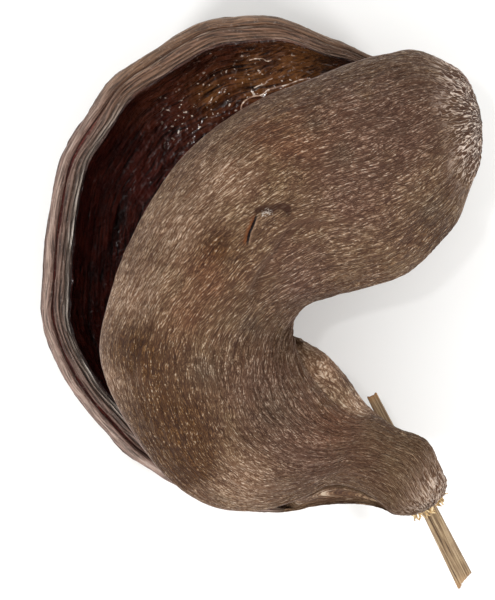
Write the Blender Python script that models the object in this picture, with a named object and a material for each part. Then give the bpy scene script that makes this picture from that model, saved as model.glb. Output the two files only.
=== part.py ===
"""Java olive seed pod: a woody follicle that has split along its outer curve, with a scrap of its stalk.

The pod is shaped like a thick letter C and lies on its lower valve. The stalk end is at the front right,
the rounded tip at the back right, and the open mouth runs round the left and the back. The origin is on the
surface that the pod lies on, under the middle of its outline. Sizes are in millimetres until a mesh is made.
"""
import math

import bmesh
import bpy
import numpy as np

MILLIMETRE = 0.001

# One row for each upright cut across the pod, from the stalk end round the C to the tip: the plan point on
# the hinge side, the plan point on the upper rim, how far the lower rim reaches past the upper one, the
# heights of the crown, upper rim, hinge, lower rim and belly, how far the upper valve stands back from the
# lower one on the hinge side, and how far the cavity is open.
CUTS = (
    ((32.6, -31.2), (22.7, -36.8), 0.2, 25.5, 20.6, 19.5, 18.4, 13.2, 0.0, 0.1),
    ((29.6, -24.7), (20.6, -35.0), 1.2, 27.0, 20.8, 20.0, 18.4, 12.6, 0.0, 0.1),
    ((24.4, -22.2), (16.9, -32.9), 3.2, 29.0, 21.6, 22.0, 18.2, 11.6, 0.2, 0.1),
    ((21.0, -19.7), (12.2, -32.2), 4.5, 31.8, 23.4, 26.0, 17.9, 9.8, 1.2, 0.1),
    ((18.5, -17.3), (7.4, -34.3), 2.8, 35.2, 25.8, 30.0, 17.6, 6.4, 3.2, 0.1),
    ((15.5, -13.6), (1.2, -36.3), 0.8, 39.2, 28.2, 33.0, 17.3, 2.8, 4.8, 0.35),
    ((12.3, -10.4), (-5.5, -36.5), 0.0, 42.5, 30.0, 34.0, 17.0, -0.8, 4.6, 0.76),
    ((8.3, -7.7), (-15.3, -31.8), 0.4, 45.0, 31.6, 31.0, 17.0, 0.4, 2.4, 0.96),
    ((6.3, -6.3), (-22.0, -23.6), 3.3, 46.5, 32.6, 26.5, 17.2, 0.6, 0.6, 1.0),
    ((5.6, -4.1), (-28.1, -8.5), 8.5, 47.6, 33.6, 22.5, 17.6, -0.8, 0.0, 1.0),
    ((6.7, -1.8), (-25.5, 4.2), 13.0, 48.0, 34.2, 22.0, 18.0, 0.3, 0.0, 1.0),
    ((9.0, 0.0), (-17.8, 20.1), 17.8, 48.0, 34.6, 22.0, 18.5, 0.8, 0.0, 1.0),
    ((12.2, 0.9), (-10.7, 28.5), 17.7, 47.8, 34.6, 22.0, 19.0, 0.5, 0.0, 1.0),
    ((15.8, 1.8), (-0.2, 35.4), 16.0, 47.3, 34.0, 22.0, 19.5, -0.3, 0.0, 1.0),
    ((20.3, 2.9), (8.6, 39.1), 10.6, 46.5, 32.6, 22.0, 20.2, -0.8, 0.0, 0.9),
    ((24.8, 4.2), (14.8, 41.7), 4.0, 45.0, 30.6, 22.4, 21.0, 0.9, 0.0, 0.7),
    ((30.0, 8.3), (21.6, 43.5), -0.7, 42.0, 28.0, 23.0, 22.0, 4.0, 0.0, 0.45),
    ((35.0, 14.7), (28.5, 43.8), -0.7, 38.4, 26.4, 23.5, 22.8, 8.6, 0.0, 0.2),
    ((37.3, 21.2), (34.2, 41.0), -0.3, 34.2, 25.0, 23.8, 23.0, 13.4, 0.0, 0.1),
)

CUT_COUNT = 64
ROUND_END_CUTS = 4
STALK_END_ROUNDING = 3.6
TIP_END_ROUNDING = 5.3
# Each end dome starts this far round its quarter ellipse, where the pod is already drawing in.
STALK_END_START = math.radians(12)
TIP_END_START = math.radians(28)
ROUND_END_ANGLE = math.radians(70)

WALL = 3.2
HINGE_CREASE = 1.3
HINGE_CREASE_HEIGHT = 3.6
# Where the pod is shut, the cavity and the rims shrink to a notch along the seam. The rims shrink by this
# power of the opening, and the notch's ends keep to the rims by the other.
LEAST_OPENING = 0.1
RIM_GROWTH = 1.2
SEAM_EASE = 0.4
LOWER_VALVE_SET_BACK = 1.4
# Beside the crease, each valve swells this far past the plan points of the cuts.
VALVE_SWELL = 0.9
# Where the pod is shut, the crease and the swell keep this share of their size.
SHUT_SHARE = 0.4
# The lower valve turns outward to its rim over the last part of its arc.
RIM_FLARE = 2.4
RIM_FLARE_START = 0.6
# The lower rim is scalloped: how far along the pod's middle line each wave is, and how far it stands out.
RIM_WAVES = ((41.0, 0.4), (54.8, 0.6), (66.8, 0.6), (74.0, 0.8), (82.3, 0.5), (89.6, 0.6), (97.8, 0.5))
RIM_WAVE_HALF_LENGTH = 2.4
SHARP_ANGLE = math.radians(40)

OUTER_UPPER_STEPS = 13
OUTER_LOWER_STEPS = 14
INNER_STEPS = 8

# The lower rim in section, from its outer edge to its inner lip: a bark edge, a groove and a grey lip.
LOWER_RIM = np.array(((-0.2, 0.8), (-1.1, 1.4), (-2.0, 1.3), (-2.4, 0.5), (-3.1, 0.9), (-4.4, 0.7)))
LOWER_INNER_EDGE = (-5.1, -0.2)
# The upper rim in section, from its inner edge to its outer one.
UPPER_INNER_EDGE = (-2.5, -0.4)
UPPER_RIM = np.array(((-1.4, -1.2), (-0.4, -0.8)))

STALK_TOP_END = (19.6, -16.4)
STALK_FAR_END = (36.2, -49.6)
STALK_TOP_WIDTH = 1.9
STALK_WIDTH = 3.5
# The strip reaches its full width this share of the way down.
STALK_WIDENING = 0.6
STALK_THICKNESS = 2.0
STALK_HEIGHTS = (9.0, 14.4)
STALK_CUTS = 9
STALK_SWELL = 0.04
STALK_SWELLS = 3
# The stalk in section, as shares of its half width and half thickness: two grooves on the upper side.
# The third number is how many millimetres that line falls short at the broken far end.
STALK_PROFILE = (
    (-1.0, -0.5, 0.0),
    (-1.0, 0.4, 0.4),
    (-0.75, 0.95, 1.6),
    (-0.4, 0.6, 2.6),
    (-0.05, 1.0, 1.0),
    (0.3, 0.65, 2.2),
    (0.65, 1.0, 0.6),
    (1.0, 0.5, 0.0),
    (1.0, -0.4, 0.8),
    (0.6, -1.0, 1.4),
    (-0.6, -1.0, 0.6),
)

POD_COLOUR = (0.165, 0.105, 0.066)
POD_ROUGHNESS = 0.62
STALK_COLOUR = (0.42, 0.28, 0.14)
STALK_ROUGHNESS = 0.7


def clear_scene():
    """Removes whatever the new scene starts with."""
    for thing in list(bpy.data.objects):
        bpy.data.objects.remove(thing, do_unlink=True)


def wood(name, colour, roughness):
    """Returns a plain material in the colour of one dry plant part."""
    material = bpy.data.materials.new(name)
    material.use_nodes = True
    shader = material.node_tree.nodes["Principled BSDF"]
    shader.inputs["Base Color"].default_value = (*colour, 1.0)
    shader.inputs["Roughness"].default_value = roughness
    shader.inputs["Metallic"].default_value = 0.0
    return material


def smooth_through(knots, values, places):
    """Reads a smooth curve through values at knots, with the slope at each knot from its neighbours."""
    slopes = np.gradient(values, knots, axis=0)
    index = np.clip(np.searchsorted(knots, places, side="right") - 1, 0, len(knots) - 2)
    span = knots[index + 1] - knots[index]
    t = ((places - knots[index]) / span)[:, None]
    start = values[index]
    end = values[index + 1]
    leave = slopes[index] * span[:, None]
    arrive = slopes[index + 1] * span[:, None]
    return (
        start * (2 * t**3 - 3 * t**2 + 1)
        + leave * (t**3 - 2 * t**2 + t)
        + end * (3 * t**2 - 2 * t**3)
        + arrive * (t**3 - t**2)
    )


def even_cuts():
    """Returns evenly spaced cuts along the pod, and how far along its middle line each one is."""
    rows = np.array([(*hinge, *rim, *rest) for hinge, rim, *rest in CUTS])
    middle = (rows[:, 0:2] + rows[:, 2:4]) / 2
    steps = np.linalg.norm(np.diff(middle, axis=0), axis=1)
    knots = np.concatenate(([0.0], np.cumsum(steps)))
    places = np.linspace(0.0, knots[-1], CUT_COUNT)
    return smooth_through(knots, rows, places), places


def valve_arc(near, far, hinge_height, rim_height, bulge, pull, angles):
    """Returns distance and height along half an ellipse that leans from the hinge to a rim.

    The wall is drawn in by pull at the crease that the two valves share on the hinge side.
    """
    share = (1 - np.cos(angles)) / 2
    height = hinge_height + (rim_height - hinge_height) * share + bulge * np.sin(angles)
    closeness = np.exp(-(((height - hinge_height) / HINGE_CREASE_HEIGHT) ** 2)) * (1 - share) ** 2
    distance = near + (far - near) * share + pull * closeness
    return distance, height


def section(width, reach, crown, upper_rim, hinge, lower_rim, belly, set_back, opening):
    """Returns one closed cut as distance from the hinge side and height, once round the wall."""
    lower_width = width + reach
    fullness = SHUT_SHARE + (1 - SHUT_SHARE) * opening
    swell = VALVE_SWELL * fullness
    lower_near = LOWER_VALVE_SET_BACK * opening * max(0.0, 1.0 - set_back) - swell
    upper_near = set_back - swell
    crease = max(upper_near, lower_near) + HINGE_CREASE * fullness
    upper_bulge = crown - (hinge + upper_rim) / 2
    lower_bulge = (hinge + lower_rim) / 2 - belly
    rim_size = opening**RIM_GROWTH

    over = np.linspace(math.pi, 0.0, OUTER_UPPER_STEPS, endpoint=False)
    points = [valve_arc(upper_near, width, hinge, upper_rim, upper_bulge, crease - upper_near, over)]

    under = np.linspace(0.0, math.pi, OUTER_LOWER_STEPS)
    flare = RIM_FLARE * rim_size
    rim_foot = lower_width - flare
    distance, height = valve_arc(
        lower_near, rim_foot, hinge, lower_rim, -lower_bulge, crease - lower_near, under
    )
    turned = np.clip((under / math.pi - RIM_FLARE_START) / (1 - RIM_FLARE_START), 0.0, 1.0)
    distance = distance + flare * turned**2
    points.append((distance, np.maximum(height, 0.0)))
    points.append((lower_width + LOWER_RIM[:, 0] * rim_size, lower_rim + LOWER_RIM[:, 1] * rim_size))

    low_edge = lower_width + LOWER_INNER_EDGE[0] * rim_size, lower_rim + LOWER_INNER_EDGE[1] * rim_size
    high_edge = width + UPPER_INNER_EDGE[0] * rim_size, upper_rim + UPPER_INNER_EDGE[1] * rim_size
    inner_near = crease + WALL
    back = np.linspace(math.pi, 0.0, INNER_STEPS, endpoint=False)
    forth = np.linspace(0.0, math.pi, INNER_STEPS)
    lower_hollow = valve_arc(inner_near, low_edge[0], hinge, low_edge[1], WALL - lower_bulge, 0.0, back)
    upper_hollow = valve_arc(inner_near, high_edge[0], hinge, high_edge[1], upper_bulge - WALL, 0.0, forth)
    hollow = np.column_stack([np.concatenate(pair) for pair in zip(lower_hollow, upper_hollow)])
    share = np.linspace(-1.0, 1.0, len(hollow))[:, None]
    share = 0.5 + 0.5 * np.sign(share) * np.abs(share) ** SEAM_EASE
    seam = np.array(low_edge) * (1 - share) + np.array(high_edge) * share
    points.append((seam + (hollow - seam) * opening).T)

    points.append((width + UPPER_RIM[:, 0] * rim_size, upper_rim + UPPER_RIM[:, 1] * rim_size))
    return np.concatenate([np.column_stack(stretch) for stretch in points])


def pod_rings():
    """Returns the pod's cuts in space, each a closed loop of points round the wall."""
    cuts, places = even_cuts()
    rings = []
    for row, place in zip(cuts, places):
        hinge_point = row[0:2]
        width = np.linalg.norm(row[2:4] - hinge_point)
        across = (row[2:4] - hinge_point) / width
        opening = float(np.clip(row[11], LEAST_OPENING, 1.0))
        wave = sum(size * math.exp(-(((place - at) / RIM_WAVE_HALF_LENGTH) ** 2)) for at, size in RIM_WAVES)
        loop = section(width, row[4] + wave, *row[5:11], opening)
        plan = hinge_point + loop[:, :1] * across
        rings.append(np.column_stack((plan, loop[:, 1])))
    start = round_end(rings[0], rings[1], STALK_END_ROUNDING, STALK_END_START)
    end = round_end(rings[-1], rings[-2], TIP_END_ROUNDING, TIP_END_START)
    return start[::-1] + rings + end


def round_end(ring, neighbour, depth, first_angle):
    """Returns shrinking copies of an end ring that close the pod in a blunt dome and fade out its seam."""
    centre = (ring.min(axis=0) + ring.max(axis=0)) / 2
    ahead = centre - (neighbour.min(axis=0) + neighbour.max(axis=0)) / 2
    ahead[2] = 0.0
    ahead = ahead / np.linalg.norm(ahead)
    inside = OUTER_UPPER_STEPS + OUTER_LOWER_STEPS
    healed = ring.copy()
    healed[inside:] = np.linspace(ring[inside - 1], ring[0], len(ring) - inside + 2)[1:-1]
    copies = []
    for step in range(1, ROUND_END_CUTS + 1):
        angle = first_angle + (ROUND_END_ANGLE - first_angle) * step / ROUND_END_CUTS
        shape = ring + (healed - ring) * step / ROUND_END_CUTS
        size = math.cos(angle) / math.cos(first_angle)
        advance = depth * (math.sin(angle) - math.sin(first_angle))
        copies.append(centre + (shape - centre) * size + ahead * advance)
    return copies


def object_from_rings(name, rings, material):
    """Joins closed rings of equal length with quads, closes both ends, and adds the piece to the scene."""
    mesh = bpy.data.meshes.new(name)
    work = bmesh.new()
    loops = [[work.verts.new(point) for point in ring] for ring in rings]
    for near, far in zip(loops, loops[1:]):
        for index in range(len(near)):
            after = (index + 1) % len(near)
            work.faces.new((near[index], near[after], far[after], far[index]))
    for ring, loop in ((rings[0], loops[0][::-1]), (rings[-1], loops[-1])):
        middle = work.verts.new((ring.min(axis=0) + ring.max(axis=0)) / 2)
        for near, after in zip(loop, loop[1:] + loop[:1]):
            work.faces.new((near, after, middle))
    bmesh.ops.triangulate(work, faces=work.faces[:])
    bmesh.ops.recalc_face_normals(work, faces=work.faces[:])
    bmesh.ops.scale(work, vec=(MILLIMETRE, MILLIMETRE, MILLIMETRE), verts=work.verts[:])
    work.to_mesh(mesh)
    work.free()
    mesh.shade_smooth()
    mesh.set_sharp_from_angle(angle=SHARP_ANGLE)
    mesh.materials.append(material)
    piece = bpy.data.objects.new(name, mesh)
    bpy.context.scene.collection.objects.link(piece)
    return piece


def stalk_rings():
    """Returns the cuts of the flat woody strip that crosses under the stalk end, with a ragged far end."""
    top = np.array((*STALK_TOP_END, STALK_HEIGHTS[0]))
    far = np.array((*STALK_FAR_END, STALK_HEIGHTS[1]))
    along = (far - top) / np.linalg.norm(far - top)
    side = np.cross(along, (0.0, 0.0, 1.0))
    side = side / np.linalg.norm(side)
    up = np.cross(side, along)
    rings = []
    for share in np.linspace(0.0, 1.0, STALK_CUTS):
        width = np.interp(share, (0.0, STALK_WIDENING), (STALK_TOP_WIDTH, STALK_WIDTH))
        width = width * (1.0 + STALK_SWELL * math.sin(share * math.pi * STALK_SWELLS))
        ring = []
        for across, height, lag in STALK_PROFILE:
            ragged = lag * max(0.0, share * STALK_CUTS - STALK_CUTS + 1)
            place = top + (far - top) * share - along * ragged
            place = place + side * across * width / 2 + up * height * STALK_THICKNESS / 2
            ring.append(place)
        rings.append(np.array(ring))
    return rings


def build():
    """Makes the pod and its scrap of stalk."""
    clear_scene()
    object_from_rings("pod", pod_rings(), wood("Dry pod wall", POD_COLOUR, POD_ROUGHNESS))
    object_from_rings("stalk", stalk_rings(), wood("Straw-coloured stalk", STALK_COLOUR, STALK_ROUGHNESS))


build()
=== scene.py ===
# %% [markdown]
# This lesson dresses one dry seed pod of the java olive tree. The pod is a woody follicle, shaped like a
# thick letter C, that has split along its outer curve, so that a mouth runs round its left side and its back.
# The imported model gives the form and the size. Everything here is made over it: the fibrous bark, the rims,
# the glossy lining, the scrap of stalk and the torn fibres beside it.

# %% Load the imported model
import math

import bpy
import numpy as np
from mathutils import Matrix


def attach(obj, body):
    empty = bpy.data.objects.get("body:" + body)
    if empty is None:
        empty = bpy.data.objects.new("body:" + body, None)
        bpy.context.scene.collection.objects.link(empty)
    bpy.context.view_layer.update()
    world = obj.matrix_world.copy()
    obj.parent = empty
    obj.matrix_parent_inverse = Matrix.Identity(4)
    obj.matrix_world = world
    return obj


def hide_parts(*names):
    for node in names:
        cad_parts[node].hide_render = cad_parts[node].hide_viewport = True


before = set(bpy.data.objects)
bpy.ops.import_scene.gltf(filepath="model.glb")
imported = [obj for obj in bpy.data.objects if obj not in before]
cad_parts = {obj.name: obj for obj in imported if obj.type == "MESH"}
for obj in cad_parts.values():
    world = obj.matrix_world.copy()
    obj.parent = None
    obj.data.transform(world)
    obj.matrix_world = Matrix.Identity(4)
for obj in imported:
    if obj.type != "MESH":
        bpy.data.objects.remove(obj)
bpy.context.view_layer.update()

MILLIMETRE = 0.001


print("nodes:", sorted(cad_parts))

# %% [markdown]
# Materials are built from nodes, so one small function adds a node, sets it up and links it. Colours are
# written the way that a paint program shows them and are turned to the linear values that the shader needs.
# Inputs go by name, or by number where a node has several of one name. A Mix node's share is 0, its numbers
# are 2 and 3 and its colours 6 and 7. A Map Range takes 0 from the range 1 to 2 into the range 3 to 4.

# %% Small helpers for materials
MIX_COLOURS = {"out": 2, "data_type": "RGBA"}


def colour(code):
    """Turns an sRGB hex colour into linear red, green, blue and alpha."""
    shares = [int(code[index:index + 2], 16) / 255 for index in (0, 2, 4)]
    return [s / 12.92 if s <= 0.04045 else ((s + 0.055) / 1.055) ** 2.4 for s in shares] + [1.0]


def fill(tree, node, inputs):
    """Links each input that is given an output, and sets each that is given a value."""
    for key, value in inputs.items():
        if isinstance(value, bpy.types.NodeSocket):
            tree.links.new(value, node.inputs[key])
        else:
            node.inputs[key].default_value = value


def add(tree, kind, inputs=None, stops=(), out=0, **settings):
    """Adds a node with its settings, its values or links and the stops of a ramp, and gives one output."""
    node = tree.nodes.new(kind)
    for name, value in settings.items():
        setattr(node, name, value)
    fill(tree, node, inputs or {})
    for index, (place, code) in enumerate(stops):
        ramp = node.color_ramp.elements
        element = ramp[index] if index < 2 else ramp.new(place)
        element.position = place
        element.color = colour(code)
    return node.outputs[out]


def new_material(name):
    """A material with its node tree, and the places of its points on the object."""
    material = bpy.data.materials.new(name)
    material.use_nodes = True
    tree = material.node_tree
    return material, tree, add(tree, "ShaderNodeTexCoord", out="Object")


def point_values(tree, *names):
    """The values kept on the points under these names."""
    return [add(tree, "ShaderNodeAttribute", attribute_name=name, out="Fac") for name in names]


def finish(material, inputs):
    """Gives the shader its last inputs."""
    tree = material.node_tree
    fill(tree, tree.nodes["Principled BSDF"], inputs)
    print(material.name, len(tree.nodes), "nodes")

# %% [markdown]
# The pod was photographed from straight above, from far enough away that its high crown is hardly larger
# than its low rim. A long lens two metres up does the same. The frame's height and middle on the pod come
# from the scale bar, which puts one pixel at 0.176 mm.

# %% Camera
CAMERA_HEIGHT = 2.0
FRAME_HEIGHT = 105.66 * MILLIMETRE
FRAME_MIDDLE = (-2.38 * MILLIMETRE, 0.35 * MILLIMETRE)
SHARP_PLANE = 22 * MILLIMETRE

lens_data = bpy.data.cameras.new("camera")
camera = bpy.data.objects.new("camera", lens_data)
bpy.context.scene.collection.objects.link(camera)
camera.location = (*FRAME_MIDDLE, CAMERA_HEIGHT)
lens_data.lens = lens_data.sensor_width * (CAMERA_HEIGHT - SHARP_PLANE) / FRAME_HEIGHT
lens_data.clip_start = 0.01
lens_data.clip_end = 20.0
bpy.context.scene.camera = camera
print("lens:", round(lens_data.lens), "mm")

# %% [markdown]
# The wall is a loft: one upright cut after another, from the stalk end round the C to the tip. A sculpted
# sphere could look like it from above, but only a loft keeps the wall's thickness, the rims and the crease
# where the real pod has them, and it gives every point two lengths, along the pod and round it, for the
# fibres to follow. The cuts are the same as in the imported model, and here they are only read more finely.

# %% The pod's cuts, in millimetres
# Each row: plan point on the hinge side, plan point on the upper rim, how far the lower rim reaches past the
# upper one, heights of crown, upper rim, hinge, lower rim and belly, how far the upper valve stands back from
# the lower one on the hinge side, and how far the cavity is open.
CUTS = (
    ((32.6, -31.2), (22.7, -36.8), 0.2, 25.5, 20.6, 19.5, 18.4, 13.2, 0.0, 0.03),
    ((29.6, -24.7), (20.6, -35.0), 1.2, 27.0, 20.8, 20.0, 18.4, 12.6, 0.0, 0.03),
    ((24.4, -22.2), (16.9, -32.9), 3.2, 29.0, 21.6, 22.0, 18.2, 11.6, 0.2, 0.03),
    ((21.0, -19.7), (12.2, -32.2), 4.5, 31.8, 23.4, 26.0, 17.9, 9.8, 1.2, 0.03),
    ((18.5, -17.3), (7.4, -34.3), 2.8, 35.2, 25.8, 30.0, 17.6, 6.4, 3.2, 0.03),
    ((15.5, -13.6), (1.2, -36.3), 0.8, 39.2, 28.2, 33.0, 17.3, 2.8, 4.8, 0.35),
    ((12.3, -10.4), (-5.5, -36.5), 0.0, 42.5, 30.0, 34.0, 17.0, -0.8, 4.6, 0.76),
    ((8.3, -7.7), (-15.3, -31.8), 0.4, 45.0, 31.6, 31.0, 17.0, 0.4, 2.4, 0.96),
    ((6.3, -6.3), (-22.0, -23.6), 3.3, 46.5, 32.6, 26.5, 17.2, 0.6, 0.6, 1.0),
    ((5.6, -4.1), (-28.1, -8.5), 8.5, 47.6, 33.6, 22.5, 17.6, -0.8, 0.0, 1.0),
    ((6.7, -1.8), (-25.5, 4.2), 13.0, 48.0, 34.2, 22.0, 18.0, 0.3, 0.0, 1.0),
    ((9.0, 0.0), (-17.8, 20.1), 17.8, 48.0, 34.6, 22.0, 18.5, 0.8, 0.0, 1.0),
    ((12.2, 0.9), (-10.7, 28.5), 17.7, 47.8, 34.6, 22.0, 19.0, 0.5, 0.0, 1.0),
    ((15.8, 1.8), (-0.2, 35.4), 16.0, 47.3, 34.0, 22.0, 19.5, -0.3, 0.0, 1.0),
    ((20.3, 2.9), (8.6, 39.1), 10.6, 46.5, 32.6, 22.0, 20.2, -0.8, 0.0, 0.9),
    ((24.8, 4.2), (14.8, 41.7), 4.0, 45.0, 30.6, 22.4, 21.0, 0.9, 0.0, 0.7),
    ((30.0, 8.3), (21.6, 43.5), -0.7, 42.0, 28.0, 23.0, 22.0, 4.0, 0.0, 0.45),
    ((35.0, 14.7), (28.5, 43.8), -0.7, 38.4, 26.4, 23.5, 22.8, 8.6, 0.0, 0.2),
    ((37.3, 21.2), (34.2, 41.0), -0.3, 34.2, 25.0, 23.8, 23.0, 13.4, 0.0, 0.03),
)
OPENING_COLUMN = 11
FINE_CUTS = 309
WALL = 3.2
HINGE_CREASE = 1.3
HINGE_CREASE_HEIGHT = 3.6
LEAST_OPENING = 0.03
RIM_GROWTH = 1.2
SEAM_EASE = 0.4
LOWER_VALVE_SET_BACK = 1.4
VALVE_SWELL = 0.9
SHUT_SHARE = 0.4
RIM_FLARE = 2.4
RIM_FLARE_START = 0.6
RIM_WAVES = ((41.0, 0.4), (54.8, 0.6), (66.8, 0.6), (74.0, 0.8), (82.3, 0.5), (89.6, 0.6), (97.8, 0.5))
RIM_WAVE_HALF_LENGTH = 2.4


def smooth_through(knots, values, places):
    """Reads a smooth curve through values at knots, with the slope at each knot from its neighbours."""
    slopes = np.gradient(values, knots, axis=0)
    index = np.clip(np.searchsorted(knots, places, side="right") - 1, 0, len(knots) - 2)
    span = knots[index + 1] - knots[index]
    t = ((places - knots[index]) / span)[:, None]
    leave = slopes[index] * span[:, None]
    arrive = slopes[index + 1] * span[:, None]
    return (
        values[index] * (2 * t**3 - 3 * t**2 + 1)
        + leave * (t**3 - 2 * t**2 + t)
        + values[index + 1] * (3 * t**2 - 2 * t**3)
        + arrive * (t**3 - t**2)
    )


def lengths_along(points):
    """How far along a line of points each one is."""
    steps = np.linalg.norm(np.diff(points, axis=0), axis=1)
    return np.concatenate(([0.0], np.cumsum(steps)))


rows = np.array([(*hinge, *rim, *rest) for hinge, rim, *rest in CUTS])
cut_places = lengths_along((rows[:, 0:2] + rows[:, 2:4]) / 2)
places = np.linspace(0.0, cut_places[-1], FINE_CUTS)
cuts = smooth_through(cut_places, rows, places)
print("middle line of the pod:", round(cut_places[-1], 1), "mm")

# %% [markdown]
# Each cut is one closed line round the wall: from the crease over the crown to the upper rim, back through
# the hollow to the lower rim, and home under the belly. The lower rim carries the marks of the split: a bark
# edge, a dark groove and a grey lip. It is drawn as a smooth line through a few points.

# %% One cut of the wall
CROWN_POINTS = 206
UPPER_RIM_POINTS = 14
UPPER_HOLLOW_POINTS = 54
LOWER_HOLLOW_POINTS = 98
LOWER_RIM_POINTS = 54
BELLY_POINTS = 118
# Across and up from the rim's outer edge, from there to the inner one.
LOWER_RIM = np.array((
    (0.0, 0.0), (-0.2, 0.8), (-0.9, 1.4), (-1.7, 1.35),
    (-2.05, 0.7), (-2.45, 1.15), (-3.9, 0.9), (-5.1, -0.2),
))
UPPER_RIM = np.array(((0.0, 0.0), (-0.4, -0.8), (-1.4, -1.2), (-2.5, -0.4)))


def evenly_along(corners, count):
    """Points along a smooth line through the corners, without its two ends."""
    reach = lengths_along(corners)
    return smooth_through(reach, corners, np.linspace(0.0, reach[-1], count + 2)[1:-1])


def valve_arc(near, far, hinge_height, rim_height, bulge, pull, angles):
    """Distance and height along half an ellipse from the hinge to a rim, drawn in at the crease."""
    share = (1 - np.cos(angles)) / 2
    height = hinge_height + (rim_height - hinge_height) * share + bulge * np.sin(angles)
    closeness = np.exp(-(((height - hinge_height) / HINGE_CREASE_HEIGHT) ** 2)) * (1 - share) ** 2
    return np.column_stack((near + (far - near) * share + pull * closeness, height))


def section(width, reach, crown, upper_rim, hinge, lower_rim, belly, set_back, opening):
    """One closed cut as distance from the hinge side and height."""
    lower_width = width + reach
    fullness = SHUT_SHARE + (1 - SHUT_SHARE) * opening
    swell = VALVE_SWELL * fullness
    lower_near = LOWER_VALVE_SET_BACK * opening * max(0.0, 1.0 - set_back) - swell
    upper_near = set_back - swell
    crease = max(upper_near, lower_near) + HINGE_CREASE * fullness
    upper_bulge = crown - (hinge + upper_rim) / 2
    lower_bulge = (hinge + lower_rim) / 2 - belly
    rim_size = opening**RIM_GROWTH

    over = np.linspace(0.0, math.pi, CROWN_POINTS)
    crown_line = valve_arc(upper_near, width, hinge, upper_rim, upper_bulge, crease - upper_near, over)
    upper_lip = evenly_along(UPPER_RIM, UPPER_RIM_POINTS) * rim_size + (width, upper_rim)

    high_edge = UPPER_RIM[-1] * rim_size + (width, upper_rim)
    low_edge = LOWER_RIM[-1] * rim_size + (lower_width, lower_rim)
    inward = np.linspace(math.pi, 0.0, UPPER_HOLLOW_POINTS)
    outward = np.linspace(0.0, math.pi, LOWER_HOLLOW_POINTS + 1)[1:]
    inner_near = crease + WALL
    ceiling = valve_arc(inner_near, high_edge[0], hinge, high_edge[1], upper_bulge - WALL, 0.0, inward)
    bed = valve_arc(inner_near, low_edge[0], hinge, low_edge[1], WALL - lower_bulge, 0.0, outward)
    hollow = np.concatenate((ceiling, bed))
    share = np.concatenate((inward / math.pi, -outward / math.pi))
    share = (0.5 + 0.5 * np.sign(share) * np.abs(share) ** SEAM_EASE)[:, None]
    seam = low_edge * (1 - share) + high_edge * share
    hollow = seam + (hollow - seam) * opening

    lower_lip = evenly_along(LOWER_RIM, LOWER_RIM_POINTS)[::-1] * rim_size + (lower_width, lower_rim)
    under = np.linspace(math.pi, 0.0, BELLY_POINTS + 1)[:-1]
    flare = RIM_FLARE * rim_size
    belly_line = valve_arc(
        lower_near, lower_width - flare, hinge, lower_rim, -lower_bulge, crease - lower_near, under
    )
    turned = np.clip((under / math.pi - RIM_FLARE_START) / (1 - RIM_FLARE_START), 0.0, 1.0)
    belly_line[:, 0] += flare * turned**2
    belly_line[:, 1] = np.maximum(belly_line[:, 1], 0.0)
    return np.concatenate((crown_line, upper_lip, hollow, lower_lip, belly_line))


# %% [markdown]
# Both ends of the pod are grown shut. Past the last cut the wall draws in along a quarter of an ellipse, and
# the seam between the valves fades out, because the points of the hollow move up onto the closed skin.

# %% All cuts in a row, with both ends rounded
END_RINGS = 18
STALK_END_ROUNDING = 3.6
TIP_END_ROUNDING = 5.3
STALK_END_START = math.radians(12)
TIP_END_START = math.radians(28)
ROUND_END_ANGLE = math.radians(86)
LAST_SKIN = CROWN_POINTS - 1
FIRST_BELLY = CROWN_POINTS + UPPER_RIM_POINTS + UPPER_HOLLOW_POINTS + LOWER_HOLLOW_POINTS + LOWER_RIM_POINTS


def ring_at(row, place):
    """One cut in space."""
    hinge_point = row[0:2]
    width = np.linalg.norm(row[2:4] - hinge_point)
    across = (row[2:4] - hinge_point) / width
    opening = float(np.clip(row[OPENING_COLUMN], LEAST_OPENING, 1.0))
    wave = sum(size * math.exp(-(((place - at) / RIM_WAVE_HALF_LENGTH) ** 2)) for at, size in RIM_WAVES)
    loop = section(width, row[4] + wave, *row[5:OPENING_COLUMN], opening)
    return np.column_stack((hinge_point + loop[:, :1] * across, loop[:, 1]))


def round_end(ring, neighbour, depth, first_angle):
    """Shrinking copies of an end ring that close the pod in a blunt dome."""
    centre = (ring.min(axis=0) + ring.max(axis=0)) / 2
    ahead = centre - (neighbour.min(axis=0) + neighbour.max(axis=0)) / 2
    ahead[2] = 0.0
    ahead = ahead / np.linalg.norm(ahead)
    healed = ring.copy()
    healed[LAST_SKIN:FIRST_BELLY + 1] = np.linspace(
        ring[LAST_SKIN], ring[FIRST_BELLY], FIRST_BELLY - LAST_SKIN + 1
    )
    copies = []
    for step in range(1, END_RINGS + 1):
        angle = first_angle + (ROUND_END_ANGLE - first_angle) * step / END_RINGS
        shape = ring + (healed - ring) * step / END_RINGS
        size = math.cos(angle) / math.cos(first_angle)
        advance = depth * (math.sin(angle) - math.sin(first_angle))
        copies.append(centre + (shape - centre) * size + ahead * advance)
    return copies


rings = [ring_at(row, place) for row, place in zip(cuts, places)]
stalk_dome = round_end(rings[0], rings[1], STALK_END_ROUNDING, STALK_END_START)
tip_dome = round_end(rings[-1], rings[-2], TIP_END_ROUNDING, TIP_END_START)
wall = np.array(stalk_dome[::-1] + rings + tip_dome)
ring_places = np.concatenate((np.full(END_RINGS, places[0]), places, np.full(END_RINGS, places[-1])))
print("points in the loft:", wall.shape[0] * wall.shape[1])

# %% [markdown]
# A dried pod is wrinkled along its fibres, because the flesh between them shrinks. The wrinkles are real
# relief here and not only shading. They are noise that is squeezed across the fibres and stretched along
# them, so every point first gets a length along the pod and a length round it.

# %% Lengths along and round the wall
CROWN_GIRTH = 68.0
BELLY_GIRTH = 62.0
HOLLOW_GIRTH = 60.0

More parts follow.
